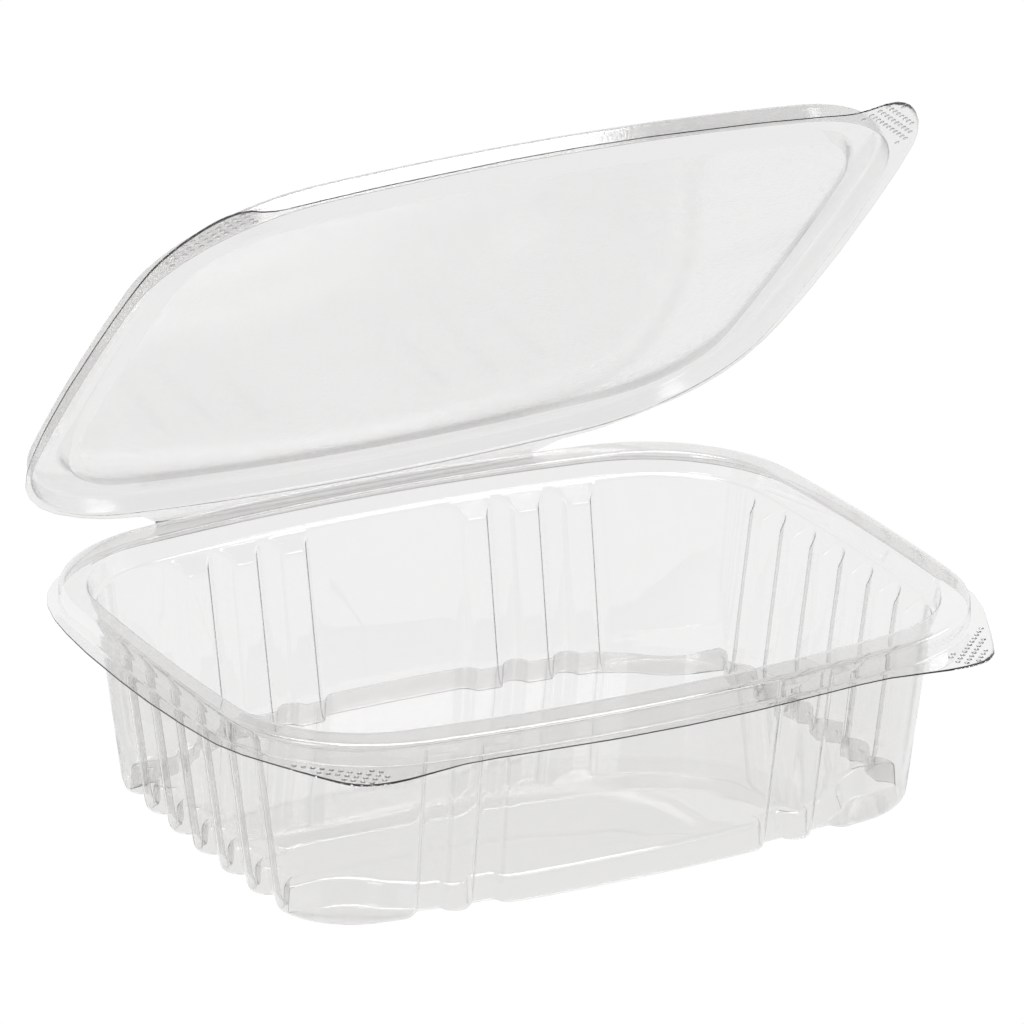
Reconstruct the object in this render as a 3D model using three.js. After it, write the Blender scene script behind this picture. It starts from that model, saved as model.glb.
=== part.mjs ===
// A clear hinged food box, formed from one thin sheet of plastic, standing empty with its lid half open.
// Millimetres. X runs along the long front side, Y points from the front to the hinge, Z is up.
// The underside of the feet lies in the plane Z = 0.
import * as THREE from "three";

// ---- driving dimensions ----
const Y_SHIFT = -1.362; // moves everything along Y, so that the box around the part is centred on the origin
const SHEET = 0.5; // wall thickness
const RIM_A = 88.2; // half length of the rim bead
const RIM_B = 72.8; // half depth of the rim bead
const RIM_BOW_LONG = 394; // plan radius of the slightly bowed long sides
const RIM_BOW_SHORT = 611; // plan radius of the slightly bowed short sides
const RIM_CORNER = 37.2; // plan radius of the rim corners
const RIM_TOP = 46.3; // height of the rim
const FLANGE_TOP = 41.7; // height of the upper face of the flange
const FLOOR = 5.8; // height of the raised floor
const FOOT_CENTRE = [66, 52]; // middle of the arc that bounds each corner foot towards the floor
const FOOT_RADIUS = 14;
const FOOT_ARC = [268, 215]; // where that arc starts and ends, in degrees
const RIB_DEPTH = 2.8; // how far each rib stands into the box
const RIB_TOP = [41.0, 37.6]; // heights between which the top of a rib slopes
const RIB_HALF = [5.2, 5.5]; // half width of a rib at its top and at the floor
const RIB_FLANK = 2.6; // width of each sloping flank of a rib
const RIB_LEAN = 0.9; // how much nearer to the middle of the wall the outermost ribs stand at the floor
const BACK_RIBS = [-46.8, -34.5, -22.2, 22.2, 34.5, 46.8]; // along X
const FRONT_RIBS = [-47.4, -35.1, 35.1, 47.4];
const SIDE_RIBS = [-31.0, -18.6, -6.2, 6.2, 18.6, 31.0]; // along Y
const LONG_END = 53.5; // the corner columns start here on the long sides
const SHORT_END = 37.5; // and here on the short sides
const HINGE_Y = 78.2; // the line on which the lid turns
const LEAF_GAP = 0.3; // clear height between the two flanges when the box is shut
const HINGE_Z = FLANGE_TOP + LEAF_GAP / 2;
const LID_OPEN_DEG = 45.6; // how far the lid stands open
const LID_LIFT = FLANGE_TOP + LEAF_GAP; // lower face of the lid's flange when shut

// Outer edge of both flanges for X above zero, from the middle of the front round to the hinge.
const FLANGE_EDGE = [
  [0, -75.8], [15.9, -75.4], [30.7, -74.1], [42.3, -73.0], [49.7, -72.8], [57.1, -73.9], [63.5, -74.9],
  [68.7, -75.0], [73.0, -73.9], [75.7, -71.2], [77.7, -67.7], [81.0, -61.0], [84.1, -54.3], [87.1, -47.6],
  [89.4, -39.7], [90.9, -26.4], [91.8, -12.7], [91.9, 0.5], [91.4, 17.4], [90.3, 29.6], [89.0, 38.6],
  [86.9, 46.5], [84.1, 52.5], [80.2, 58.0], [74.8, 62.9], [67.5, 67.5], [60.5, 70.6], [54.2, 72.2],
  [50.6, 72.9], [48.4, 74.4], [47.0, 76.4], [46.4, HINGE_Y - 0.2], [0, HINGE_Y - 0.2],
];

// ---- plan curves ----
// One quarter of a bowed rectangle with round corners, as a dense line from the middle of the
// short side to the middle of the long side.
function quarter(a, b, bowLong, bowShort, r) {
  const c1 = [0, b - bowLong];
  const c2 = [a - bowShort, 0];
  const dx = c2[0] - c1[0];
  const dy = c2[1] - c1[1];
  const d = Math.hypot(dx, dy);
  const p = bowLong - r;
  const q = bowShort - r;
  const along = (d * d + p * p - q * q) / (2 * d);
  const up = Math.sqrt(Math.max(p * p - along * along, 0));
  let best = null;
  for (const side of [1, -1]) {
    const x = c1[0] + (dx * along - side * dy * up) / d;
    const y = c1[1] + (dy * along + side * dx * up) / d;
    if (best === null || Math.min(x, y) > Math.min(best[0], best[1])) best = [x, y];
  }
  const a2 = Math.atan2(best[1] - c2[1], best[0] - c2[0]);
  const a1 = Math.atan2(best[1] - c1[1], best[0] - c1[0]);
  const line = [];
  const arc = (c, radius, from, to, n) => {
    for (let i = line.length ? 1 : 0; i <= n; i++) {
      const t = from + ((to - from) * i) / n;
      line.push([c[0] + radius * Math.cos(t), c[1] + radius * Math.sin(t)]);
    }
  };
  arc(c2, bowShort, 0, a2, 60);
  arc(best, r, a2, a1, 90);
  arc(c1, bowLong, a1, Math.PI / 2, 60);
  line[line.length - 1][0] = 0;
  return line;
}

// Point of a quarter line where the given coordinate (0 = x, 1 = y) has the given value.
function where(line, axis, value) {
  for (let i = 1; i < line.length; i++) {
    const a = line[i - 1][axis];
    const b = line[i][axis];
    if ((a - value) * (b - value) <= 0 && a !== b) {
      const t = (value - a) / (b - a);
      return { i, t, p: [0, 1].map((k) => line[i - 1][k] + t * (line[i][k] - line[i - 1][k])) };
    }
  }
  throw new Error("the curve has no such point");
}

// The corner part of a quarter line, from y = SHORT_END to x = LONG_END, at given shares of its length.
function cornerPoints(line, shares) {
  const from = where(line, 1, SHORT_END);
  const to = where(line, 0, LONG_END);
  const part = [from.p, ...line.slice(from.i, to.i), to.p];
  const len = [0];
  for (let i = 1; i < part.length; i++) {
    len.push(len[i - 1] + Math.hypot(part[i][0] - part[i - 1][0], part[i][1] - part[i - 1][1]));
  }
  return shares.map((s) => {
    const want = s * len[len.length - 1];
    let i = 1;
    while (i < len.length - 1 && len[i] < want) i++;
    const t = (want - len[i - 1]) / (len[i] - len[i - 1]);
    return [0, 1].map((k) => part[i - 1][k] + t * (part[i][k] - part[i - 1][k]));
  });
}

// ---- columns round the box ----
// A column on a long side sits at a fixed x, one on a short side at a fixed y. A rib gives four
// columns, two at its foot and two at its crest. Corner columns are shares of the corner's length.
const CORNER_SHARES = [0.1, 0.22, 0.33, 0.42, 0.5, 0.58, 0.67, 0.78, 0.9];

function makeColumns(ribbed) {
  const long = (sign, ribs) => {
    const list = [];
    for (const c of ribs) {
      for (const [foot, crest] of [[-1, 0], [-1, 1], [1, 1], [1, 0]]) {
        list.push({ kind: "long", sign, at: c, foot, crest });
      }
    }
    for (const x of ribbed ? [-8, 0, 8] : [-48, -45.3, -22, 0, 22, 45.3, 48]) {
      list.push({ kind: "long", sign, at: x, foot: 0, crest: 0 });
    }
    list.push({ kind: "long", sign, at: -LONG_END, foot: 0, crest: 0 });
    list.push({ kind: "long", sign, at: LONG_END, foot: 0, crest: 0 });
    return list;
  };
  const short = (sign) => {
    const list = [];
    for (const c of ribbed ? SIDE_RIBS : []) {
      for (const [foot, crest] of [[-1, 0], [-1, 1], [1, 1], [1, 0]]) {
        list.push({ kind: "short", sign, at: c, foot, crest });
      }
    }
    for (const y of ribbed ? [0] : [-24, -8, 8, 24]) list.push({ kind: "short", sign, at: y, foot: 0, crest: 0 });
    list.push({ kind: "short", sign, at: -SHORT_END, foot: 0, crest: 0 });
    list.push({ kind: "short", sign, at: SHORT_END, foot: 0, crest: 0 });
    return list;
  };
  const corner = (sx, sy) => CORNER_SHARES.map((share) => ({ kind: "corner", sx, sy, share }));
  const order = (list, way) => list.sort((p, q) => way * (p.at + 4 * p.foot - q.at - 4 * q.foot
    + 0.5 * (p.foot * (1 - p.crest) - q.foot * (1 - q.crest))));
  return [
    ...order(short(1), 1),
    ...corner(1, 1),
    ...order(long(1, ribbed ? BACK_RIBS : []), -1),
    ...corner(-1, 1).reverse(),
    ...order(short(-1), -1),
    ...corner(-1, -1),
    ...order(long(-1, ribbed ? FRONT_RIBS : []), 1),
    ...corner(1, -1).reverse(),
  ];
}

// Where a column meets a plan curve at height z.
function place(column, line, z) {
  if (column.kind === "corner") {
    const [x, y] = cornerPoints(line, [column.share])[0];
    return [column.sx * x, column.sy * y];
  }
  const t = Math.min(Math.max((RIB_TOP[0] - z) / RIB_TOP[0], 0), 1);
  const half = RIB_HALF[0] + (RIB_HALF[1] - RIB_HALF[0]) * t;
  const lean = column.foot ? (column.at / LONG_END) * RIB_LEAN * t : 0;
  const at = column.at - lean + column.foot * (half - column.crest * RIB_FLANK);
  if (column.kind === "long") return [at, column.sign * where(line, 0, Math.abs(at)).p[1]];
  return [column.sign * where(line, 1, Math.abs(at)).p[0], at];
}

// Where the ray from a rim point, along its outward normal, meets the flange's outer edge.
const EDGE = [
  ...FLANGE_EDGE,
  ...FLANGE_EDGE.slice(0, -1).reverse().map(([x, y]) => [-x, y]),
];

function toEdge(p, n) {
  let best = Infinity;
  for (let i = 0; i < EDGE.length; i++) {
    const a = EDGE[i];
    const b = EDGE[(i + 1) % EDGE.length];
    const e = [b[0] - a[0], b[1] - a[1]];
    const det = n[0] * -e[1] + n[1] * e[0];
    if (Math.abs(det) < 1e-9) continue;
    const w = [a[0] - p[0], a[1] - p[1]];
    const s = (w[0] * -e[1] + w[1] * e[0]) / det;
    const u = (n[0] * w[1] - n[1] * w[0]) / det;
    if (s > 0 && u >= -1e-9 && u <= 1 + 1e-9 && s < best) best = s;
  }
  return [p[0] + n[0] * best, p[1] + n[1] * best];
}

// ---- the sheet ----
// rows: middle surface of the sheet, from the flange's edge inwards. Each row has insets from the rim
// on the short (ix) and long (iy) sides, a height z, a corner radius, and optionally how much of the
// rib depth it carries, or the corner foot circle that it follows. A row may be scaled towards the
// middle, or be the row before it, shrunk.
function surface(columns, rows) {
  const rim = quarter(RIM_A, RIM_B, RIM_BOW_LONG, RIM_BOW_SHORT, RIM_CORNER);
  const rimPoints = columns.map((c) => place(c, rim, RIM_TOP));
  const normals = rimPoints.map((p, i) => {
    const q = rimPoints[(i + 1) % rimPoints.length];
    const o = rimPoints[(i + rimPoints.length - 1) % rimPoints.length];
    const d = [q[0] - o[0], q[1] - o[1]];
    const len = Math.hypot(d[0], d[1]);
    return [d[1] / len, -d[0] / len];
  });
  let last = null;
  return rows.map((row) => {
    if (row.edge) return rimPoints.map((p, i) => [...toEdge(p, normals[i]), row.z]);
    if (row.shrink) return last.map(([x, y]) => [x * row.shrink, y * row.shrink, row.z]);
    const line = quarter(
      RIM_A - row.ix,
      RIM_B - row.iy,
      RIM_BOW_LONG - row.iy,
      RIM_BOW_SHORT - row.ix,
      row.r,
    );
    last = columns.map((c, i) => {
      let [x, y] = place(c, line, row.z);
      const depth = row.rib ? row.rib * RIB_DEPTH * (c.crest || 0) : 0;
      x -= normals[i][0] * depth;
      y -= normals[i][1] * depth;
      if (row.foot && c.kind === "corner") {
        const angle = ((FOOT_ARC[0] + (FOOT_ARC[1] - FOOT_ARC[0]) * c.share) * Math.PI) / 180;
        x = c.sx * (FOOT_CENTRE[0] + row.foot * Math.cos(angle));
        y = c.sy * (FOOT_CENTRE[1] + row.foot * Math.sin(angle));
      }
      const scale = row.scale || 1;
      return [x * scale, y * scale, row.z];
    });
    return last;
  });
}

// Turns the middle surface into one closed sheet of even thickness.
function sheet(name, grid, centreZ, flatRows, material) {
  const rows = grid.length;
  const cols = grid[0].length;
  const mid = grid.flat().map((p) => new THREE.Vector3(...p));
  mid.push(new THREE.Vector3(0, 0, centreZ));
  const centre = mid.length - 1;
  const faces = [];
  for (let r = 0; r + 1 < rows; r++) {
    for (let c = 0; c < cols; c++) {
      const d = (c + 1) % cols;
      const [a, b, e, f] = [r * cols + c, r * cols + d, (r + 1) * cols + d, (r + 1) * cols + c];
      faces.push([a, b, e], [a, e, f]);
    }
  }
  for (let c = 0; c < cols; c++) {
    faces.push([(rows - 1) * cols + c, (rows - 1) * cols + ((c + 1) % cols), centre]);
  }
  const normal = mid.map(() => new THREE.Vector3());
  for (const [a, b, c] of faces) {
    const u = mid[b].clone().sub(mid[a]);
    const v = mid[c].clone().sub(mid[a]);
    const n = u.cross(v);
    for (const i of [a, b, c]) normal[i].add(n);
  }
  const upper = [];
  const lower = [];
  mid.forEach((p, i) => {
    const n = normal[i].normalize();
    upper.push(p.clone().addScaledVector(n, SHEET / 2));
    lower.push(p.clone().addScaledVector(n, -SHEET / 2));
  });
  for (const r of flatRows) {
    for (let c = 0; c < cols; c++) {
      const i = r * cols + c;
      upper[i].copy(mid[i]).setZ(mid[i].z + SHEET / 2);
      lower[i].copy(mid[i]).setZ(mid[i].z - SHEET / 2);
    }
  }
  const positions = [...upper, ...lower].flatMap((p) => [p.x, p.y + Y_SHIFT, p.z]);
  const n = mid.length;
  const index = [];
  for (const [a, b, c] of faces) {
    index.push(a, b, c, a + n, c + n, b + n);
  }
  for (let c = 0; c < cols; c++) {
    const d = (c + 1) % cols;
    index.push(c, c + n, d + n, c, d + n, d);
  }
  const geometry = new THREE.BufferGeometry();
  geometry.setAttribute("position", new THREE.Float32BufferAttribute(positions, 3));
  geometry.setIndex(index);
  geometry.computeVertexNormals();
  const mesh = new THREE.Mesh(geometry, material);
  mesh.name = name;
  return mesh;
}

const half = SHEET / 2;
const clear = (color) => new THREE.MeshStandardMaterial({
  color,
  roughness: 0.06,
  metalness: 0,
  transparent: true,
  opacity: 0.35,
});

// ---- the tray ----
const trayRows = [
  { edge: true, z: FLANGE_TOP - half }, // outer edge of the flange
  { ix: -0.7, iy: -0.7, z: FLANGE_TOP - half, r: RIM_CORNER + 0.7 }, // foot of the bead
  { ix: 0.25, iy: 0.25, z: FLANGE_TOP + 0.4, r: RIM_CORNER - 0.25 },
  { ix: 0.25, iy: 0.25, z: RIM_TOP - 1.5, r: RIM_CORNER - 0.25 }, // outer side of the bead
  { ix: 0.7, iy: 0.7, z: RIM_TOP - 0.6, r: RIM_CORNER - 0.7 },
  { ix: 1.6, iy: 1.6, z: RIM_TOP - half, r: RIM_CORNER - 1.6 }, // top of the rim
  { ix: 5.4, iy: 7.4, z: RIM_TOP - half, r: RIM_CORNER - 7.4 },
  { ix: 6.1, iy: 8.2, z: RIM_TOP - 0.9, r: RIM_CORNER - 8.2 }, // inner edge of the rim
  { ix: 6.6, iy: 8.7, z: 42.0, r: RIM_CORNER - 8.7 },
  { ix: 7.7, iy: 9.8, z: 41.4, r: RIM_CORNER - 9.8 }, // small step at the ribs' tops
  { ix: 7.8, iy: 9.9, z: RIB_TOP[0], r: RIM_CORNER - 9.9 },
  { ix: 8.2, iy: 10.4, z: RIB_TOP[1], r: 26.5, rib: 1 },
  { ix: 12.6, iy: 15.9, z: 3.0, r: 20, rib: 1 }, // foot of the wall
  { ix: 13.0, iy: 16.4, z: 1.0, r: 19, rib: 1 },
  { ix: 13.8, iy: 17.2, z: half, r: 18, rib: 1 }, // underside that stands on the table
  { ix: 14.6, iy: 18.0, z: half, r: 17, rib: 1, foot: FOOT_RADIUS },
  { ix: 14.9, iy: 18.3, z: FLOOR - 0.8, r: 16.5, rib: 1, foot: FOOT_RADIUS + 0.5 },
  { ix: 15.6, iy: 19.0, z: FLOOR, r: 16, rib: 1, foot: FOOT_RADIUS + 1.2 }, // edge of the raised floor
  { ix: 20.2, iy: 21.3, z: FLOOR, r: 15.5, foot: FOOT_RADIUS + 1.2, scale: 0.94 }, // plain again
];
const tray = sheet("tray", surface(makeColumns(true), trayRows), FLOOR, [0, 14, 15, 18], clear(0xe9eceb));

// ---- the lid, laid out shut and then turned up about the hinge line ----
const lidRows = [
  { edge: true, z: LID_LIFT + half },
  { ix: -1.5, iy: -1.5, z: LID_LIFT + half, r: RIM_CORNER + 1.5 },
  { ix: -0.65, iy: -0.65, z: LID_LIFT + 0.9, r: RIM_CORNER + 0.65 },
  { ix: -0.65, iy: -0.65, z: RIM_TOP - 1.0, r: RIM_CORNER + 0.65 }, // outer side of the channel
  { ix: -0.2, iy: -0.2, z: RIM_TOP + 0.2, r: RIM_CORNER + 0.2 },
  { ix: 1.3, iy: 1.3, z: RIM_TOP + 0.65, r: RIM_CORNER - 1.3 }, // top of the channel
  { ix: 5.6, iy: 7.7, z: RIM_TOP + 0.65, r: RIM_CORNER - 7.7 },
  { ix: 7.0, iy: 9.2, z: RIM_TOP - 0.1, r: RIM_CORNER - 9.2 },
  { ix: 8.2, iy: 10.9, z: 44.0, r: 24 }, // inner side of the channel
  { ix: 9.1, iy: 11.8, z: 43.5, r: 22 }, // edge of the flat panel
  { shrink: 0.55, z: 43.6 },
];
const lid = sheet("lid", surface(makeColumns(false), lidRows), 43.7, [0], clear(0xe6e9e8));

const lidPivot = new THREE.Group();
lidPivot.name = "lid_pivot";
lidPivot.position.set(0, HINGE_Y + Y_SHIFT, HINGE_Z);
lid.position.set(0, -HINGE_Y - Y_SHIFT, -HINGE_Z);
lidPivot.rotation.x = -(LID_OPEN_DEG * Math.PI) / 180;
lidPivot.add(lid);

const box = new THREE.Group();
box.name = "hinged_food_box";
box.add(tray, lidPivot);
export default box;
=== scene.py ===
import math

import bmesh
import bpy
from mathutils import Matrix, Vector


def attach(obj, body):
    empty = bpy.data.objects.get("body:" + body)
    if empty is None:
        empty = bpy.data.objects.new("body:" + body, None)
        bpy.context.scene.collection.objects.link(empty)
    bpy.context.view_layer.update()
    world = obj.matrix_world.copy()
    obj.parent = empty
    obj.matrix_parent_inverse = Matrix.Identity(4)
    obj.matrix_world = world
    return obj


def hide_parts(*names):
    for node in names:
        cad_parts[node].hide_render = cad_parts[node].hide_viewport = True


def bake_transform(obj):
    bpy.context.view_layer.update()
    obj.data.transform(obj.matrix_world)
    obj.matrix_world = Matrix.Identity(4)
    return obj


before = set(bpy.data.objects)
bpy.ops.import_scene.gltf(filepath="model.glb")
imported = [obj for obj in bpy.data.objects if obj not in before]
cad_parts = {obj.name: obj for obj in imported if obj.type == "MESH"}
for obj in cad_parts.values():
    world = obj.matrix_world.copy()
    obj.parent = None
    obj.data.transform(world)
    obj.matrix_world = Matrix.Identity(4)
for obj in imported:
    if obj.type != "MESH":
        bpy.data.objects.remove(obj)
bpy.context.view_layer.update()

# A clear hinged food box of one formed plastic sheet, half open and empty.
# Lengths are in millimetres in the shape code and become metres when a mesh is made.
MM = 0.001
Y_SHIFT = -1.362  # the same shift along Y as in the solid model
SHEET = 0.22  # thickness of the formed sheet
HALF = SHEET / 2
STRIP = 0.18  # thickness of the folding strip
WORN_SHARE = 0.12  # how much of the thickness the softened cut edge takes
WORN_ANGLE = 65  # degrees from which an edge counts as cut
TINY = 1e-9

# Rim and flange. RIM_A and RIM_B are half the length and half the depth over the rim bead.
RIM_A, RIM_B = 88.2, 72.8
BOW_LONG, BOW_SHORT = 394.0, 611.0  # plan radii of the bowed sides
RIM_CORNER = 37.2
RIM_TOP = 46.3
FLANGE_TOP = 41.7
FLANGE_SHARES = (0.12, 0.5)  # places of the flange's inner rings between its cut edge and the rim

# Floor and feet
FLOOR = 5.8  # height of the raised floor
FOOT_CENTRE = (66.0, 52.0)
FOOT_RADIUS = 14.0
FOOT_ARC = (268.0, 215.0)  # degrees, from the short side's end of a foot to the long side's

# Ribs. A rib starts at the first height of RIB_TOP and has its full depth at the second.
RIB_DEPTH = 2.8
RIB_TOP = (41.0, 37.6)
RIB_CREST = (2.6, 2.9)  # half width of a rib's flat face at its top and at the floor
RIB_PITCH_HALF = 6.15  # from a rib's middle to the middle of the flute beside it
RIB_LEAN = 0.9  # how far the ribs at a side's ends lean inwards on their way down
BACK_RIBS = (-46.8, -34.5, -22.2, 22.2, 34.5, 46.8)
FRONT_RIBS = (-47.4, -35.1, 35.1, 47.4)
SIDE_RIBS = (-31.0, -18.6, -6.2, 6.2, 18.6, 31.0)
RIBS_OF = {1: BACK_RIBS, -1: FRONT_RIBS}
OUTER_RIB = 46.0  # only the outermost ribs of a long side stand further out than this
LONG_END, SHORT_END = 53.5, 37.5  # where the sides end and the corners begin

# Hinge and lid
HINGE_Y = 78.2
HINGE_Z = FLANGE_TOP + 0.15
HINGE_HALF = 46.2  # half the length of the folding strip
LID_OPEN = math.radians(45.6)
LID_FLAT = FLANGE_TOP + 0.3 + 0.25  # middle of the lid's flange when the lid is shut
LID_CREST = RIM_TOP + 0.65  # middle of the sheet over the lid's channel
TURN_UP = Matrix.Rotation(-LID_OPEN, 3, "X")
HINGE_POINT = Vector((0, HINGE_Y + Y_SHIFT, HINGE_Z))

# Outer edge of the flange for X above zero, from the middle of the front round to the hinge.
FLANGE_EDGE = [
    (0, -75.8), (15.9, -75.4), (30.7, -74.1), (42.3, -73.0), (49.7, -72.8), (57.1, -73.9),
    (63.5, -74.9), (68.7, -75.0), (73.0, -73.9), (75.7, -71.2), (77.7, -67.7), (81.0, -61.0),
    (84.1, -54.3), (87.1, -47.6), (89.4, -39.7), (90.9, -26.4), (91.7, -12.7), (91.8, 0.5),
    (91.3, 17.4), (90.3, 29.6), (89.0, 38.6), (86.9, 46.5), (84.1, 52.5), (80.2, 58.0),
    (74.8, 62.9), (67.5, 67.5), (60.5, 70.6), (54.2, 72.2), (50.6, 72.9), (48.4, 74.4),
    (47.0, 76.4), (46.4, HINGE_Y - 0.2), (0, HINGE_Y - 0.2),
]
WIDEST = 17  # number of the flange edge's widest point, behind which the lid has the same edge
# The lid's tabs stand further to the sides than the tray's, so that fingers can part the two.
LID_EDGE = [
    (0, -75.8), (15.9, -75.4), (30.7, -74.1), (40.4, -73.3), (46.8, -72.6), (53.2, -71.6),
    (58.0, -71.0), (62.5, -70.2), (66.0, -69.7), (68.6, -69.8), (70.8, -70.6), (72.6, -71.6),
    (74.8, -72.2), (77.1, -71.9), (79.9, -70.3), (82.9, -66.8), (85.8, -61.9), (88.2, -56.0),
    (89.5, -50.4), (90.1, -44.8), (90.6, -38.8), (91.1, -29.9), (91.5, -19.0),
    *FLANGE_EDGE[WIDEST:],
]
TRAY_OUTLINE = FLANGE_EDGE + [(-x, y) for x, y in FLANGE_EDGE[-2:0:-1]]
LID_OUTLINE = LID_EDGE + [(-x, y) for x, y in LID_EDGE[-2:0:-1]]


# ---- plan curves ----
SIDE_STEPS, CORNER_STEPS = 80, 120  # points of a quarter's bowed sides and of its corner


def clamp(value):
    return min(max(value, 0.0), 1.0)


def quarter(a, b, bow_long, bow_short, corner):
    """A quarter of a bowed rectangle with a round corner.

    It runs from the middle of the short side to the middle of the long side.
    """
    c1, c2 = (0.0, b - bow_long), (a - bow_short, 0.0)
    dx, dy = c2[0] - c1[0], c2[1] - c1[1]
    d = math.hypot(dx, dy)
    p, q = bow_long - corner, bow_short - corner
    along = (d * d + p * p - q * q) / (2 * d)
    up = math.sqrt(max(p * p - along * along, 0.0))
    spots = [
        (c1[0] + (dx * along - s * dy * up) / d, c1[1] + (dy * along + s * dx * up) / d)
        for s in (1, -1)
    ]
    mid = max(spots, key=min)
    a2 = math.atan2(mid[1] - c2[1], mid[0] - c2[0])
    a1 = math.atan2(mid[1] - c1[1], mid[0] - c1[0])
    line = []
    for centre, radius, start, stop, steps in (
        (c2, bow_short, 0.0, a2, SIDE_STEPS),
        (mid, corner, a2, a1, CORNER_STEPS),
        (c1, bow_long, a1, math.pi / 2, SIDE_STEPS),
    ):
        for i in range(1 if line else 0, steps + 1):
            t = start + (stop - start) * i / steps
            line.append((centre[0] + radius * math.cos(t), centre[1] + radius * math.sin(t)))
    line[-1] = (0.0, line[-1][1])
    return line


def crossing(line, axis, value):
    """(index, point) where one coordinate of a quarter line has the given value."""
    for i in range(1, len(line)):
        a, b = line[i - 1][axis], line[i][axis]
        if (a - value) * (b - value) <= 0 and a != b:
            t = (value - a) / (b - a)
            return i, tuple(line[i - 1][k] + t * (line[i][k] - line[i - 1][k]) for k in (0, 1))
    raise ValueError("the curve has no such point")


def corner_line(line, shares):
    """Points of the corner part of a quarter line at shares of its length."""
    i0, p0 = crossing(line, 1, SHORT_END)
    i1, p1 = crossing(line, 0, LONG_END)
    part = [p0, *line[i0:i1], p1]
    run = [0.0]
    for a, b in zip(part, part[1:]):
        run.append(run[-1] + math.hypot(b[0] - a[0], b[1] - a[1]))
    points, i = [], 1
    for share in shares:
        want = share * run[-1]
        while i < len(run) - 1 and run[i] < want:
            i += 1
        t = (want - run[i - 1]) / (run[i] - run[i - 1])
        points.append(tuple(part[i - 1][k] + t * (part[i][k] - part[i - 1][k]) for k in (0, 1)))
    return points


# ---- columns round the box ----
# Places across a rib: -1 and 1 are the edges of its flat face, -2 and 2 the middles of the flutes.
FLANK_STEPS = (0.05, 0.14, 0.25, 0.38, 0.54, 0.73, 0.94)
CREST_STEPS = (-1.0, -0.88, -0.55, 0.0, 0.55, 0.88, 1.0)
STEP_REACH = 3.0  # about how many millimetres one such step is
CORNER_COLUMNS = 26
# Plain columns between the middle ribs of a long side, and all columns of a sheet without ribs.
BACK_GAP = [-13, -10, -7, -3.5, 0, 3.5, 7, 10, 13]
FRONT_GAP = [-26, -22, -17, *BACK_GAP, 17, 22, 26]
PLAIN_LONG = [x * 4.6 for x in range(-11, 12)]
PLAIN_SHORT = [x * 5.0 for x in range(-7, 8)]


def columns(ribbed):
    """The columns in order round the box: (side, sign or signs, rib middle or place, step)."""
    steps = [-1 - q for q in reversed(FLANK_STEPS)] + list(CREST_STEPS)
    steps += [1 + q for q in FLANK_STEPS]

    def side(kind, sign, ribs, plain, end):
        spots = [(c, s) for c in ribs for s in steps] + [(x, None) for x in plain + [-end, end]]
        spots.sort(key=lambda o: o[0] + (o[1] or 0) * STEP_REACH)
        return [(kind, sign, at, s) for at, s in spots]

    if ribbed:
        back = side("long", 1, BACK_RIBS, BACK_GAP, LONG_END)
        front = side("long", -1, FRONT_RIBS, FRONT_GAP, LONG_END)
        ends = [side("short", sign, SIDE_RIBS, [0], SHORT_END) for sign in (1, -1)]
    else:
        back, front = (side("long", sign, (), PLAIN_LONG, LONG_END) for sign in (1, -1))
        ends = [side("short", sign, (), PLAIN_SHORT, SHORT_END) for sign in (1, -1)]
    shares = [(i + 1) / (CORNER_COLUMNS + 1) for i in range(CORNER_COLUMNS)]
    rows = ends[0]
    rows += [("corner", (1, 1), s, None) for s in shares]
    rows += back[::-1]
    rows += [("corner", (-1, 1), s, None) for s in shares[::-1]]
    rows += ends[1][::-1]
    rows += [("corner", (-1, -1), s, None) for s in shares]
    rows += front
    rows += [("corner", (1, -1), s, None) for s in shares[::-1]]
    return rows


def flute(q):
    """How far a rib still stands out beside its face: 1 at the face, 0 in the flute's middle."""
    steep = 0.92
    u = 1.0 - clamp(q)
    return (1 - math.sqrt(1 - (steep * u) ** 2)) / (1 - math.sqrt(1 - steep**2))


def rib_share(step):
    """The rib's depth as a share of the full one, with the edge of its face a little rounded."""
    blur = (-0.09, -0.045, 0.0, 0.045, 0.09)
    return sum(flute(abs(step) - 1 + e) for e in blur) / len(blur)


# ---- rings, from the flange's edge down the wall to the floor ----
def foot_point(radius, share):
    """A plan point on a foot's inner edge, at a share of its arc."""
    angle = math.radians(FOOT_ARC[0] + (FOOT_ARC[1] - FOOT_ARC[0]) * share)
    return (
        FOOT_CENTRE[0] + radius * math.cos(angle),
        FOOT_CENTRE[1] + radius * math.sin(angle),
    )


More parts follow.
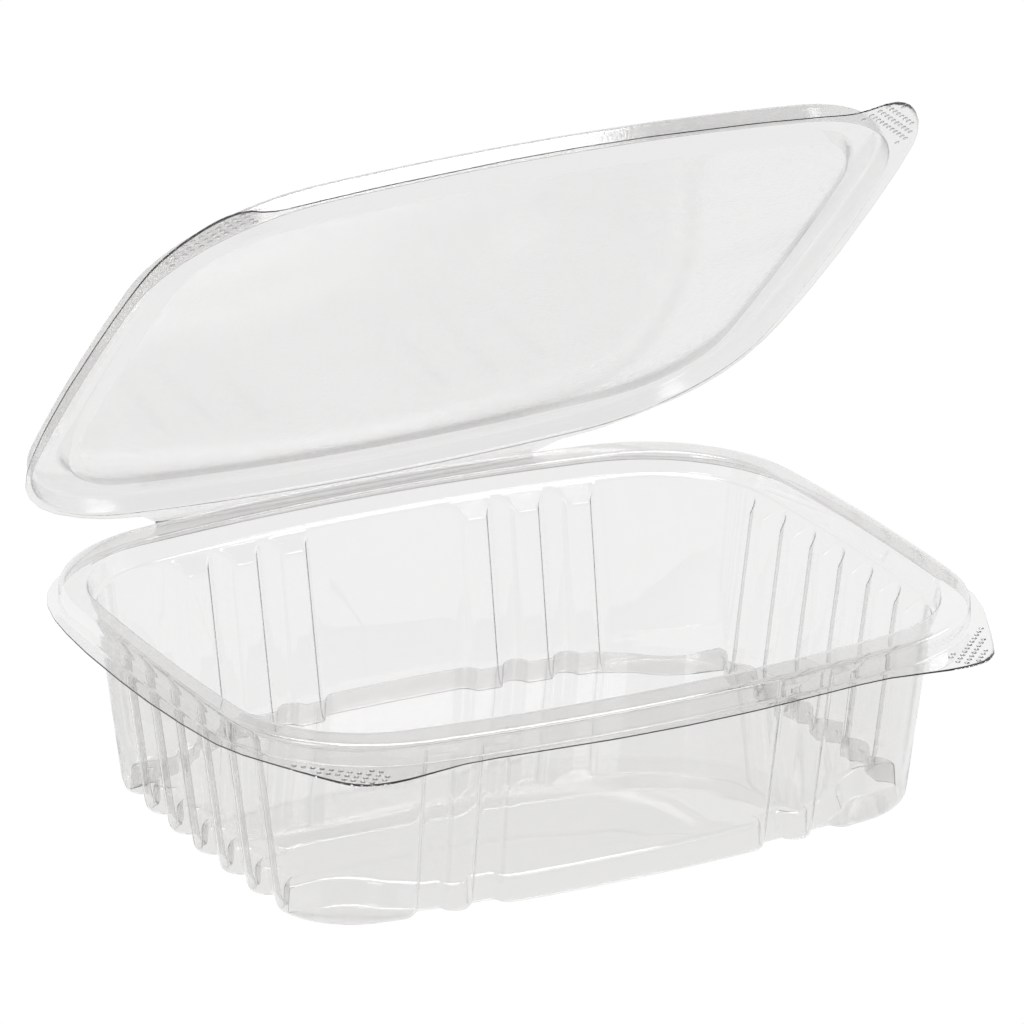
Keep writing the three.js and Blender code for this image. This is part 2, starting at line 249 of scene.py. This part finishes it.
def ring(cols, row, normals):
    """Middle line of the sheet round the box for one row.

    A row has the insets ix and iy from the rim bead, the height z and the corner radius r.
    """
    line = quarter(
        RIM_A - row["ix"], RIM_B - row["iy"], BOW_LONG - row["iy"], BOW_SHORT - row["ix"], row["r"]
    )
    z, scale, foot = row["z"], row.get("scale", 1.0), row.get("foot")
    down = clamp((RIB_TOP[0] - z) / RIB_TOP[0])
    crest = RIB_CREST[0] + (RIB_CREST[1] - RIB_CREST[0]) * down
    most = RIB_DEPTH * clamp((RIB_TOP[0] - z) / (RIB_TOP[0] - RIB_TOP[1]))
    lean = 1 - RIB_LEAN * down / LONG_END
    shares = [c[2] for c in cols if c[0] == "corner" and c[1] == (1, 1)]
    corners = dict(zip(shares, corner_line(line, shares)))
    points = []
    for i, (kind, sign, at, step) in enumerate(cols):
        if kind == "corner":
            x, y = foot_point(foot, at) if foot else corners[at]
            points.append((sign[0] * x * scale, sign[1] * y * scale, z))
            continue
        beyond = abs(at) > OUTER_RIB and (step is None or step * at > 0)
        depth = 0.0
        if step is not None:
            flank = max(abs(step) - 1, 0.0)
            off = min(abs(step), 1.0) * crest + flank * (RIB_PITCH_HALF - crest)
            at = at * lean + math.copysign(off, step)
            if row.get("rib"):
                depth = min(RIB_DEPTH * rib_share(step), most)
        if foot and kind == "long" and beyond:
            # the foot's edge runs on to the middle of the outermost rib's face
            rib = abs(RIBS_OF[sign][-1]) * lean
            start = crossing(line, 0, rib)[1][1] - (RIB_DEPTH if row.get("rib") else 0.0)
            end = foot_point(foot, 1.0)
            part = clamp((abs(at) - rib) / (LONG_END - rib))
            x = math.copysign(rib + (end[0] - rib) * part, at)
            y = sign * (start + (end[1] - start) * part)
            points.append((x * scale, y * scale, z))
            continue
        if kind == "long":
            x, y = at, sign * crossing(line, 0, abs(at))[1][1]
        else:
            x, y = sign * crossing(line, 1, abs(at))[1][0], at
        if normals and depth:
            x -= normals[i][0] * depth
            y -= normals[i][1] * depth
        points.append((x * scale, y * scale, z))
    return points


def outward(points):
    """Unit plan normals of a closed ring that runs anticlockwise."""
    out = []
    for i, p in enumerate(points):
        a, b = points[i - 1], points[(i + 1) % len(points)]
        dx, dy = b[0] - a[0], b[1] - a[1]
        d = math.hypot(dx, dy)
        out.append((dy / d, -dx / d))
    return out


def to_edge(p, n, outline):
    """Where the line from p along its outward normal n meets a flange's outer edge."""
    best = None
    for i, a in enumerate(outline):
        b = outline[(i + 1) % len(outline)]
        e = (b[0] - a[0], b[1] - a[1])
        det = n[1] * e[0] - n[0] * e[1]
        if abs(det) < TINY:
            continue
        w = (a[0] - p[0], a[1] - p[1])
        s = (w[1] * e[0] - w[0] * e[1]) / det
        u = (n[0] * w[1] - n[1] * w[0]) / det
        if s > 0 and -TINY <= u <= 1 + TINY and (best is None or s < best):
            best = s
    return (p[0] + n[0] * best, p[1] + n[1] * best)


ROUND_REACH = 0.46  # the most that a rounding takes of the way to the next row


def towards(p, other, radius):
    """The point at a rounding's radius from p on the way to another point."""
    way = other - p
    return p + way * min(radius / max(way.length, 1e-6), ROUND_REACH)


def rings_of(cols, rows):
    """All rings of a sheet from the flange's edge inwards, with the sharp rows rounded."""
    rim = ring(cols, level(0, 0, RIM_TOP, RIM_CORNER), None)
    normals = outward(rim)
    mains = []
    for row in rows:
        z = row["z"]
        if "edge" in row:
            edge = [to_edge(p, n, row["edge"]) for p, n in zip(rim, normals)]
            mains.append(([(x, y, z) for x, y in edge], 0.0, 0))
        elif "part" in row:
            foot = ring(cols, level(row["ix"], row["ix"], z, row["r"]), None)
            share = row["part"]
            part = [
                tuple(a + (b - a) * share for a, b in zip(p, q)) for p, q in zip(mains[0][0], foot)
            ]
            mains.append(([(x, y, z) for x, y, _ in part], 0.0, 0))
        elif "shrink" in row:
            share = row["shrink"]
            mains.append(([(x * share, y * share, z) for x, y, _ in mains[-1][0]], 0.0, 0))
        else:
            mains.append((ring(cols, row, normals), row.get("round", 0.0), row.get("steps", 3)))
    rings = []
    for i, (points, radius, steps) in enumerate(mains):
        if not radius:
            rings.append(points)
            continue
        before, after = mains[i - 1][0], mains[i + 1][0]
        bends = [[] for _ in range(steps + 1)]
        for p, a, b in zip(points, before, after):
            p, a, b = Vector(p), Vector(a), Vector(b)
            a, b = towards(p, a, radius), towards(p, b, radius)
            for k, bend in enumerate(bends):
                t = k / steps
                bend.append(tuple(a * (1 - t) ** 2 + p * (2 * t * (1 - t)) + b * t**2))
        rings.extend(bends)
    return rings


# ---- meshes ----
def swept_sheet(rings):
    """A bmesh of the middle surface.

    One ring of edges is extruded from row to row and closed in the middle of the floor.
    """
    bm = bmesh.new()
    count = len(rings[0])
    loop = bmesh.ops.create_circle(bm, segments=count, radius=1.0)["verts"]
    for vert, p in zip(loop, rings[0]):
        vert.co = p
    for points in rings[1:]:
        edges = [e for e in bm.edges if e.is_boundary or e.is_wire]
        if len(edges) > count:
            live = set(loop)
            edges = [e for e in edges if e.verts[0] in live and e.verts[1] in live]
        made = bmesh.ops.extrude_edge_only(bm, edges=edges)["geom"]
        fresh = {g for g in made if isinstance(g, bmesh.types.BMVert)}
        loop = [next(o for e in v.link_edges if (o := e.other_vert(v)) in fresh) for v in loop]
        for vert, p in zip(loop, points):
            vert.co = p
    live = set(loop)
    edges = [e for e in bm.edges if e.is_boundary and e.verts[0] in live and e.verts[1] in live]
    made = bmesh.ops.extrude_edge_only(bm, edges=edges)["geom"]
    middle = sum((v.co for v in loop), Vector()) / count
    verts = [g for g in made if isinstance(g, bmesh.types.BMVert)]
    bmesh.ops.pointmerge(bm, verts=verts, merge_co=(0.0, 0.0, middle.z))
    bmesh.ops.recalc_face_normals(bm, faces=bm.faces)
    if sum(f.normal.z * f.calc_area() for f in bm.faces) < 0:
        bmesh.ops.reverse_faces(bm, faces=bm.faces)
    return bm


def finish_piece(name, bm, material, smooth=True):
    """Turns a bmesh in millimetres into an object in metres at the origin."""
    bmesh.ops.scale(bm, vec=(MM, MM, MM), verts=bm.verts)
    mesh = bpy.data.meshes.new(name)
    bm.to_mesh(mesh)
    bm.free()
    for face in mesh.polygons:
        face.use_smooth = smooth
    mesh.materials.append(material)
    piece = bpy.data.objects.new(name, mesh)
    bpy.context.scene.collection.objects.link(piece)
    return piece


def thicken(piece, thickness):
    """Gives a surface its thickness, half on each side, and softens its cut edge."""
    wall = piece.modifiers.new("sheet", "SOLIDIFY")
    wall.thickness = thickness * MM
    wall.offset = 0.0
    wall.use_rim = True
    edge = piece.modifiers.new("worn_edge", "BEVEL")
    edge.width = thickness * MM * WORN_SHARE
    edge.segments = 2
    edge.limit_method = "ANGLE"
    edge.angle_limit = math.radians(WORN_ANGLE)
    return piece


# ---- materials ----
TONE_DEPTH = 0.02  # how much darker the sheet is where it flowed least
GRAIN_SIZE = 2600.0  # about 0.4 mm from grain to grain
COLOUR_A, COLOUR_B, COLOUR_RESULT = 6, 7, 2  # the colour sockets of a Mix node


def colour_product(nodes):
    """A Mix node that multiplies two colours."""
    mix = nodes.new("ShaderNodeMix")
    mix.data_type, mix.blend_type = "RGBA", "MULTIPLY"
    mix.inputs[0].default_value = 1.0
    return mix


def math_node(nodes, operation):
    node = nodes.new("ShaderNodeMath")
    node.operation = operation
    return node


def formed_sheet_group():
    """Marks that forming leaves in a clear sheet: a soft tone, a slow waviness and a fine grain.

    The grain is too fine to be seen by itself; it softens the mirror image of what stands near.
    """
    group = bpy.data.node_groups.new("formed_sheet_marks", "ShaderNodeTree")
    for name, way in (
        ("Flow Size", "INPUT"),
        ("Tone Depth", "INPUT"),
        ("Grain", "INPUT"),
        ("Tone", "OUTPUT"),
        ("Height", "OUTPUT"),
    ):
        group.interface.new_socket(name, in_out=way, socket_type="NodeSocketFloat")
    nodes, links = group.nodes, group.links
    take = nodes.new("NodeGroupInput")
    give = nodes.new("NodeGroupOutput")
    where = nodes.new("ShaderNodeTexCoord")

    # the flow of the sheet, longer along the box than up its walls
    stretch = nodes.new("ShaderNodeMapping")
    stretch.inputs["Scale"].default_value = (0.6, 1.0, 1.4)
    links.new(where.outputs["Object"], stretch.inputs["Vector"])
    flow = nodes.new("ShaderNodeTexNoise")
    flow.inputs["Detail"].default_value = 1.0
    flow.inputs["Roughness"].default_value = 0.45
    flow.inputs["Distortion"].default_value = 0.6
    links.new(stretch.outputs["Vector"], flow.inputs["Vector"])
    links.new(take.outputs["Flow Size"], flow.inputs["Scale"])

    # tone = 1 - flow * depth
    drop = math_node(nodes, "MULTIPLY")
    links.new(flow.outputs["Fac"], drop.inputs[0])
    links.new(take.outputs["Tone Depth"], drop.inputs[1])
    tone = math_node(nodes, "SUBTRACT")
    tone.inputs[0].default_value = 1.0
    links.new(drop.outputs["Value"], tone.inputs[1])
    links.new(tone.outputs["Value"], give.inputs["Tone"])

    # height = grain * amount + flow
    grain = nodes.new("ShaderNodeTexNoise")
    grain.inputs["Detail"].default_value = 0.0
    grain.inputs["Scale"].default_value = GRAIN_SIZE
    links.new(where.outputs["Object"], grain.inputs["Vector"])
    height = math_node(nodes, "MULTIPLY_ADD")
    links.new(grain.outputs["Fac"], height.inputs[0])
    links.new(take.outputs["Grain"], height.inputs[1])
    links.new(flow.outputs["Fac"], height.inputs[2])
    links.new(height.outputs["Value"], give.inputs["Height"])
    return group


MARKS = formed_sheet_group()


def clear_plastic(name, colour, flow_size, wave, grain):
    """Clear glossy sheet. Lamps reach what is behind it, so that it throws no shadow.

    The wave is the height in metres of its slow waviness, and the grain a share of that.
    """
    mat = bpy.data.materials.new(name)
    mat.use_nodes = True
    nodes, links = mat.node_tree.nodes, mat.node_tree.links
    nodes.clear()
    marks = nodes.new("ShaderNodeGroup")
    marks.node_tree = MARKS
    marks.inputs["Flow Size"].default_value = flow_size
    marks.inputs["Tone Depth"].default_value = TONE_DEPTH
    marks.inputs["Grain"].default_value = grain
    tint = colour_product(nodes)
    tint.inputs[COLOUR_A].default_value = (*colour, 1.0)
    links.new(marks.outputs["Tone"], tint.inputs[COLOUR_B])
    bump = nodes.new("ShaderNodeBump")
    bump.inputs["Strength"].default_value = 1.0
    bump.inputs["Distance"].default_value = wave
    links.new(marks.outputs["Height"], bump.inputs["Height"])
    body = nodes.new("ShaderNodeBsdfPrincipled")
    body.inputs["Transmission Weight"].default_value = 1.0
    body.inputs["IOR"].default_value = 1.5
    body.inputs["Metallic"].default_value = 0.0
    body.inputs["Roughness"].default_value = 0.0
    links.new(tint.outputs[COLOUR_RESULT], body.inputs["Base Color"])
    links.new(bump.outputs["Normal"], body.inputs["Normal"])
    passes = nodes.new("ShaderNodeBsdfTransparent")
    passes.inputs["Color"].default_value = (1.0, 1.0, 1.0, 1.0)
    path = nodes.new("ShaderNodeLightPath")
    mix = nodes.new("ShaderNodeMixShader")
    links.new(path.outputs["Is Shadow Ray"], mix.inputs[0])
    links.new(body.outputs["BSDF"], mix.inputs[1])
    links.new(passes.outputs["BSDF"], mix.inputs[2])
    out = nodes.new("ShaderNodeOutputMaterial")
    links.new(mix.outputs["Shader"], out.inputs["Surface"])
    return mat


CLEAR_TRAY = clear_plastic(
    "clear_sheet_tray", (0.882, 0.880, 0.876), flow_size=26.0, wave=0.00012, grain=0.0
)
CLEAR_LID = clear_plastic(
    "clear_sheet_lid", (0.825, 0.822, 0.818), flow_size=18.0, wave=0.00018, grain=0.08
)


# ---- the tray ----
def level(ix, iy, z, r, **more):
    """One row of a sheet: insets from the rim bead, height, corner radius and what else it has.

    rib stands for a ribbed row, foot is the radius of the feet's inner edge there, round and
    steps are the radius and the points of a rounding, and scale draws the whole row in.
    """
    return {"ix": ix, "iy": iy, "z": z, "r": r, **more}


def flange_rows(outline, inset, z):
    """The flat flange, from its cut edge inwards to the foot of the rim's outer wall."""
    corner = RIM_CORNER - inset
    return [
        {"edge": outline, "z": z},
        *({"part": share, "ix": inset, "z": z, "r": corner} for share in FLANGE_SHARES),
        level(inset, inset, z, corner),
    ]


RIB_RUN = 9  # rows in which the ribs grow out of the wall
TRAY_FLAT = FLANGE_TOP - HALF
TRAY_CREST = RIM_TOP - HALF
TRAY_ROWS = [
    *flange_rows(TRAY_OUTLINE, -1.0, TRAY_FLAT),
    # the rim bead
    level(0.16, 0.16, TRAY_FLAT, RIM_CORNER - 0.16, round=0.6, steps=4),
    level(0.3, 0.3, TRAY_CREST, RIM_CORNER - 0.3, round=1.3, steps=7),
    level(5.9, 7.9, TRAY_CREST, RIM_CORNER - 7.9, round=0.9, steps=5),
    level(6.9, 9.0, 41.7, RIM_CORNER - 9.0, round=0.5, steps=3),
    level(7.7, 9.8, 41.3, RIM_CORNER - 9.8, round=0.3, steps=3),
    # the ribs' rounded tops
    level(7.8, 9.9, RIB_TOP[0], RIM_CORNER - 9.9, rib=1),
    *(
        level(
            7.8 + 0.46 * k / RIB_RUN,
            9.9 + 0.58 * k / RIB_RUN,
            RIB_TOP[0] + (RIB_TOP[1] - RIB_TOP[0]) * k / RIB_RUN,
            27.3 - 0.8 * k / RIB_RUN,
            rib=1,
        )
        for k in range(1, RIB_RUN + 1)
    ),
    # the wall
    level(8.35, 10.6, 36.9, 26.4, rib=1),
    level(9.6, 12.2, 27.0, 24.5, rib=1),
    level(11.0, 13.9, 16.0, 22.5, rib=1),
    level(12.35, 15.6, 5.0, 20.4, rib=1),
    # the feet and the raised floor
    level(12.9, 16.25, 1.5, 19.2, rib=1, round=1.6, steps=5),
    level(13.9, 17.3, HALF, 18.0, rib=1, round=0.5, steps=2),
    level(14.5, 17.9, HALF, 17.0, rib=1, foot=FOOT_RADIUS - 0.5, round=0.9, steps=4),
    level(14.9, 18.3, FLOOR, 16.4, rib=1, foot=FOOT_RADIUS + 0.9, round=1.3, steps=6),
    level(20.2, 21.3, FLOOR, 15.5, foot=FOOT_RADIUS + 1.2, scale=0.94),
    {"shrink": 0.6, "z": FLOOR},
]
tray_mesh = swept_sheet(rings_of(columns(True), TRAY_ROWS))
bmesh.ops.translate(tray_mesh, vec=(0, Y_SHIFT, 0), verts=tray_mesh.verts)
tray_sheet = thicken(finish_piece("tray_sheet", tray_mesh, CLEAR_TRAY), SHEET)
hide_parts("tray")
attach(tray_sheet, "tray")

# ---- the fine dimples on the front corner tabs ----
DIMPLE_STEP, DIMPLE_RADIUS, DIMPLE_RISE = 1.4, 0.58, 0.42
DIMPLE_GRID = 12  # rows and columns looked at on each side of a field's middle
EDGE_GAP, RIM_GAP = 1.4, 2.4  # how far the dimples keep from the cut edge and from the rim
TRAY_FIELD = (75.0, -66.0, 10.5)  # middle and radius of the dimples on the tray's right tab
LID_FIELD = (80.5, -62.0, 11.5)


def inside(p, ring_points):
    """Whether a plan point lies inside a closed ring of plan points."""
    hit = False
    for a, b in zip(ring_points, ring_points[1:] + ring_points[:1]):
        if (a[1] > p[1]) != (b[1] > p[1]):
            hit ^= p[0] < a[0] + (p[1] - a[1]) * (b[0] - a[0]) / (b[1] - a[1])
    return hit


def gap_to(p, ring_points):
    """Distance from a plan point to the nearest side of a closed ring."""
    p, best = Vector(p), math.inf
    for a, b in zip(ring_points, ring_points[1:] + ring_points[:1]):
        a, b = Vector(a), Vector(b)
        t = clamp((p - a).dot(b - a) / max((b - a).length_squared, TINY))
        best = min(best, (p - a - (b - a) * t).length)
    return best


def dimple_places(field, outline):
    """Staggered places on both front tabs of a flange, clear of the rim and of the cut edge."""
    bead = quarter(RIM_A, RIM_B, BOW_LONG, BOW_SHORT, RIM_CORNER)[::4]
    rim = [(x, -y) for x, y in bead] + [(0.0, 0.0)]
    places = []
    for row in range(-DIMPLE_GRID, DIMPLE_GRID):
        for col in range(-DIMPLE_GRID, DIMPLE_GRID):
            x = field[0] + (2 * col + row % 2) * DIMPLE_STEP
            y = field[1] + row * DIMPLE_STEP
            if math.hypot(x - field[0], y - field[1]) > field[2]:
                continue
            if not inside((x, y), outline) or inside((x, y), rim):
                continue
            if gap_to((x, y), outline) > EDGE_GAP and gap_to((x, y), rim) > RIM_GAP:
                places += [(side * x, y + Y_SHIFT) for side in (1, -1)]
    return places


def dimple_domes(places, top):
    """Small domes at the given places of a flange whose upper face is at the given height."""
    one = bmesh.new()
    flat = Matrix.Diagonal((1, 1, DIMPLE_RISE, 1))
    bmesh.ops.create_uvsphere(
        one, u_segments=10, v_segments=6, radius=DIMPLE_RADIUS, matrix=flat
    )
    dome = bpy.data.meshes.new("dome")
    one.to_mesh(dome)
    one.free()
    bm, last = bmesh.new(), Vector()
    for x, y in places:
        spot = Vector((x, y, top))
        dome.transform(Matrix.Translation(spot - last))
        bm.from_mesh(dome)
        last = spot
    bpy.data.meshes.remove(dome)
    return bm


tray_bumps = dimple_domes(dimple_places(TRAY_FIELD, TRAY_OUTLINE), FLANGE_TOP)
tray_dimples = finish_piece("tray_dimples", tray_bumps, CLEAR_TRAY)
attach(tray_dimples, "tray")

# ---- the lid, made shut and turned up about the hinge ----
LID_ROWS = [
    *flange_rows(LID_OUTLINE, -1.6, LID_FLAT),
    # the channel that goes over the rim bead
    level(-0.75, -0.75, LID_FLAT, RIM_CORNER + 0.75, round=0.6, steps=4),
    level(-0.55, -0.55, LID_CREST, RIM_CORNER + 0.55, round=1.4, steps=7),
    level(6.2, 8.3, LID_CREST, RIM_CORNER - 8.3, round=1.2, steps=6),
    # the inset panel
    level(8.3, 11.0, 43.6, 24.0, round=0.7, steps=5),
    level(9.6, 12.3, 43.5, 22.5),
    {"shrink": 0.82, "z": 43.52},
    {"shrink": 0.5, "z": 43.6},
]
lid_mesh = swept_sheet(rings_of(columns(False), LID_ROWS))
bmesh.ops.translate(lid_mesh, vec=(0, Y_SHIFT, 0), verts=lid_mesh.verts)
bmesh.ops.rotate(lid_mesh, cent=HINGE_POINT, matrix=TURN_UP, verts=lid_mesh.verts)
lid_sheet = thicken(finish_piece("lid_sheet", lid_mesh, CLEAR_LID), SHEET)
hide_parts("lid")
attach(lid_sheet, "lid")
lid_bumps = dimple_domes(dimple_places(LID_FIELD, LID_OUTLINE), LID_FLAT + HALF)
bmesh.ops.rotate(lid_bumps, cent=HINGE_POINT, matrix=TURN_UP, verts=lid_bumps.verts)
lid_dimples = finish_piece("lid_dimples", lid_bumps, CLEAR_LID)
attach(lid_dimples, "lid")

# ---- the folding strip ----
STRIP_REACH = 0.9  # how far the strip goes in over each flange
STRIP_BULGE = 0.55  # how far its curve is drawn out past the hinge line
STRIP_CREASE = 0.03  # depth of the fine creases along the fold
STRIP_POINTS, STRIP_STEPS = 20, 24  # across the fold and along it


def folding_strip():
    """A thin strip that leaves the tray's flange, turns over the hinge line and joins the lid's."""
    tray_end = Vector((0, HINGE_POINT.y - STRIP_REACH, FLANGE_TOP - HALF))
    lid_end = HINGE_POINT + TURN_UP @ Vector((0, -STRIP_REACH, LID_FLAT - HINGE_Z))
    bend = Vector((0, HINGE_POINT.y + STRIP_BULGE, HINGE_POINT.z))
    bm = bmesh.new()
    line = []
    for k in range(STRIP_POINTS + 1):
        t = k / STRIP_POINTS
        spot = tray_end * (1 - t) ** 2 + bend * (2 * t * (1 - t)) + lid_end * t**2
        crease = STRIP_CREASE if k % 4 in (1, 2) else -STRIP_CREASE
        line.append(spot + Vector((0, crease, 0)))
    verts = [bm.verts.new(p - Vector((HINGE_HALF, 0, 0))) for p in line]
    edges = [bm.edges.new(pair) for pair in zip(verts, verts[1:])]
    for _ in range(STRIP_STEPS):
        made = bmesh.ops.extrude_edge_only(bm, edges=edges)["geom"]
        moved = [g for g in made if isinstance(g, bmesh.types.BMVert)]
        bmesh.ops.translate(bm, vec=(2 * HINGE_HALF / STRIP_STEPS, 0, 0), verts=moved)
        edges = [g for g in made if isinstance(g, bmesh.types.BMEdge)]
    bmesh.ops.recalc_face_normals(bm, faces=bm.faces)
    return bm, tray_end, lid_end


strip_mesh, strip_start, strip_end = folding_strip()
hinge_strip = thicken(finish_piece("hinge_strip", strip_mesh, CLEAR_LID), STRIP)
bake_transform(hinge_strip)

# ---- floor and lights; lengths are in metres from here on ----
FLOOR_RADIUS = 2600  # in millimetres, as every mesh
FLOOR_DROP = 0.0001  # keeps the floor clear of the feet
FLOOR_GLOW = 1.01  # a lit table, so that the clear sheet is seen against white


def pale_floor():
    """A wide round floor that gives off its own white and shows none of the lights."""
    mat = bpy.data.materials.new("pale_floor")
    mat.use_nodes = True
    shade = mat.node_tree.nodes["Principled BSDF"]
    shade.inputs["Base Color"].default_value = (0.0, 0.0, 0.0, 1.0)
    shade.inputs["Emission Color"].default_value = (1.0, 1.0, 1.0, 1.0)
    shade.inputs["Emission Strength"].default_value = FLOOR_GLOW
    shade.inputs["Roughness"].default_value = 0.9
    shade.inputs["Specular IOR Level"].default_value = 0.0
    bm = bmesh.new()
    bmesh.ops.create_circle(bm, cap_ends=True, segments=96, radius=FLOOR_RADIUS)
    floor = finish_piece("pale_floor", bm, mat, smooth=False)
    floor.data.transform(Matrix.Translation((0, 0, -FLOOR_DROP)))


def soft_light(name, place, aim, size, radiance):
    """A rectangular soft light; radiance is how bright its face looks beside the white floor."""
    lamp = bpy.data.lights.new(name, "AREA")
    lamp.shape = "RECTANGLE"
    lamp.size, lamp.size_y = size
    lamp.energy = radiance * math.pi * size[0] * size[1]
    holder = bpy.data.objects.new(name, lamp)
    holder.location = place
    holder.rotation_euler = (Vector(aim) - Vector(place)).to_track_quat("-Z", "Y").to_euler()
    bpy.context.scene.collection.objects.link(holder)


pale_floor()
soft_light("top_light", (0.0, 0.05, 1.25), (0, 0, 0), (1.3, 1.0), 6.0)
soft_light("left_light", (-1.3, -0.5, 0.8), (0, 0, 0.05), (0.5, 0.7), 3.0)
soft_light("front_light", (0.62, -1.12, 1.05), (0, 0, 0.03), (0.6, 0.42), 3.2)
soft_light("right_light", (1.35, -0.2, 0.9), (0, 0, 0.05), (0.5, 0.7), 3.0)

# ---- the room: white at the horizon, darker overhead and behind the camera ----
WHITE_UP_TO, DARK_FROM = 0.5, 0.72  # heights on the unit sphere of directions
OVERHEAD = (0.34, 0.34, 0.345, 1.0)
BEHIND_FROM, BEHIND_TO, BEHIND_LEVEL = -0.75, -0.1, 0.5  # along Y on the same sphere


def studio_world():
    world = bpy.data.worlds.new("studio")
    bpy.context.scene.world = world
    world.use_nodes = True
    nodes, links = world.node_tree.nodes, world.node_tree.links
    look = nodes.new("ShaderNodeTexCoord")
    parts = nodes.new("ShaderNodeSeparateXYZ")
    links.new(look.outputs["Generated"], parts.inputs["Vector"])
    ramp = nodes.new("ShaderNodeValToRGB")
    low_stop, high_stop = ramp.color_ramp.elements
    low_stop.position, low_stop.color = WHITE_UP_TO, (1.0, 1.0, 1.0, 1.0)
    high_stop.position, high_stop.color = DARK_FROM, OVERHEAD
    links.new(parts.outputs["Z"], ramp.inputs["Fac"])
    front = nodes.new("ShaderNodeMapRange")
    front.inputs["From Min"].default_value = BEHIND_FROM
    front.inputs["From Max"].default_value = BEHIND_TO
    front.inputs["To Min"].default_value = BEHIND_LEVEL
    front.inputs["To Max"].default_value = 1.0
    links.new(parts.outputs["Y"], front.inputs["Value"])
    dim = colour_product(nodes)
    links.new(ramp.outputs["Color"], dim.inputs[COLOUR_A])
    links.new(front.outputs["Result"], dim.inputs[COLOUR_B])
    links.new(dim.outputs[COLOUR_RESULT], nodes["Background"].inputs["Color"])
    nodes["Background"].inputs["Strength"].default_value = 1.0


studio_world()

# ---- the camera, as fitted to the photograph ----
CAMERA_AZIMUTH = math.radians(-27.944)
CAMERA_ELEVATION = math.radians(20.738)
CAMERA_DISTANCE = 1.80255
CAMERA_TARGET = Vector((0.005583, 0.009765, 0.058131))
FOCAL_PIXELS = 8500.5
PHOTO_PIXELS = 1024
SENSOR_WIDTH = 36.0


def photo_camera():
    data = bpy.data.cameras.new("camera")
    data.sensor_width = SENSOR_WIDTH
    data.lens = FOCAL_PIXELS / PHOTO_PIXELS * SENSOR_WIDTH
    data.clip_start, data.clip_end = 0.05, 20.0
    camera = bpy.data.objects.new("camera", data)
    away = Vector((
        math.sin(CAMERA_AZIMUTH) * math.cos(CAMERA_ELEVATION),
        -math.cos(CAMERA_AZIMUTH) * math.cos(CAMERA_ELEVATION),
        math.sin(CAMERA_ELEVATION),
    ))
    camera.location = CAMERA_TARGET + away * CAMERA_DISTANCE
    camera.rotation_euler = (-away).to_track_quat("-Z", "Y").to_euler()
    bpy.context.scene.collection.objects.link(camera)
    bpy.context.scene.camera = camera


photo_camera()
bpy.context.scene.view_settings.view_transform = "Standard"
cycles = bpy.context.scene.cycles
cycles.max_bounces = 11  # enough for a ray to pass the lid and both walls of the tray
cycles.transmission_bounces = 11
cycles.glossy_bounces = 4
cycles.diffuse_bounces = 0
cycles.transparent_max_bounces = 16
cycles.caustics_reflective = False
cycles.caustics_refractive = False
